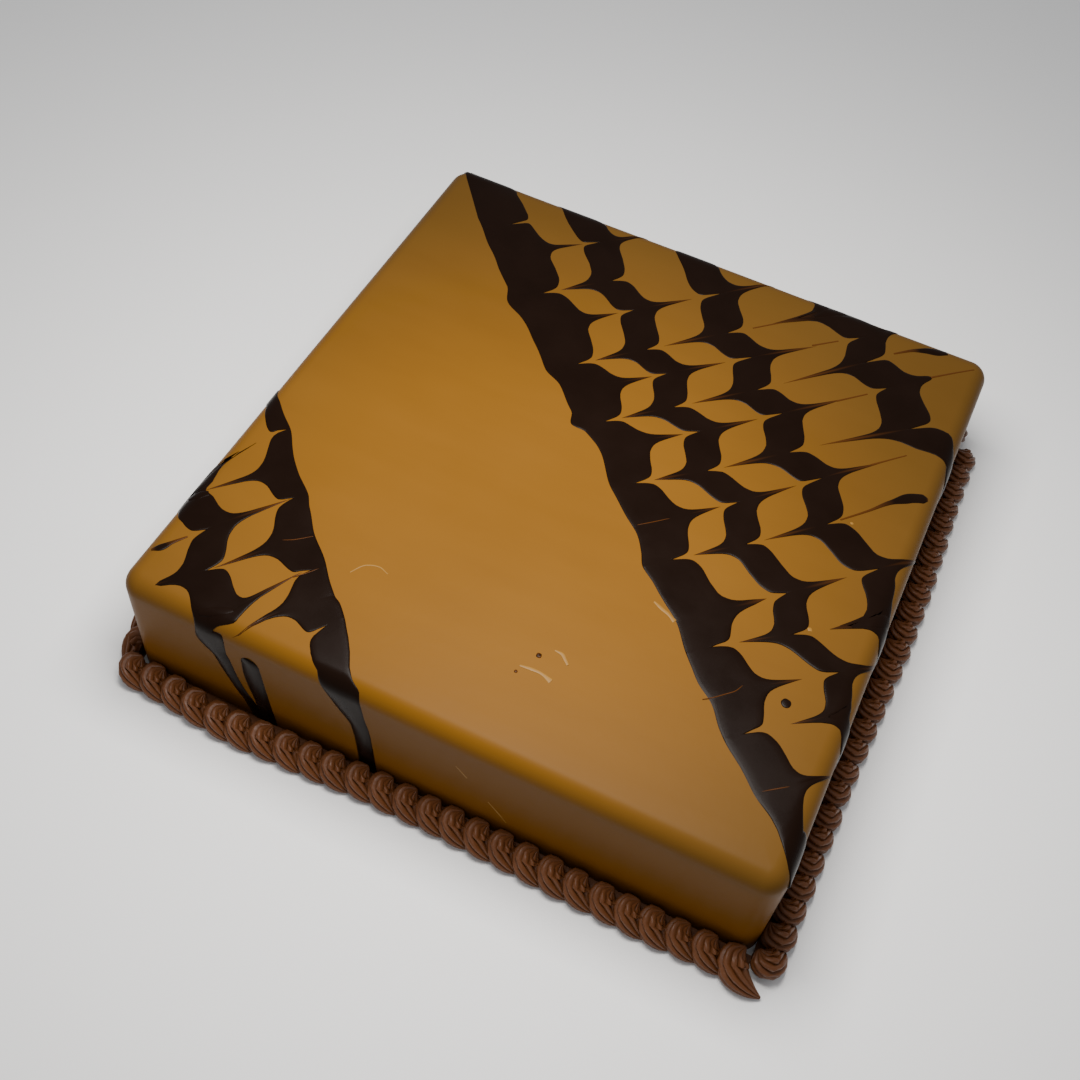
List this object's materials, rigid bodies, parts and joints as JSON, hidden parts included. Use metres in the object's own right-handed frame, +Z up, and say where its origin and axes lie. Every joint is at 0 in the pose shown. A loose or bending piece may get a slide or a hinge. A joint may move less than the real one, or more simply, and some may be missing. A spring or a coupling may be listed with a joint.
{
  "type": "opera cake",
  "caption": "Square glazed opera cake with a feathered chocolate stripe pattern, drips down its sides and a piped shell border round its base.",
  "frame": {"origin": "centre of the flat underside, at the height of the surface that the cake stands on", "axes": "+Z up, -Y towards the front side with the long drips, +Y along the slightly longer side, +X to the right"},
  "size_m": [0.2792, 0.2892, 0.057],
  "materials": {
    "coffee_glaze": "satin",
    "chocolate_cream": "satin"
  },
  "bodies": {
    "root": {"cake": "coffee_glaze", "border_front": "chocolate_cream", "border_right": "chocolate_cream", "border_back": "chocolate_cream", "border_left": "chocolate_cream"}
  },
  "joints": []
}
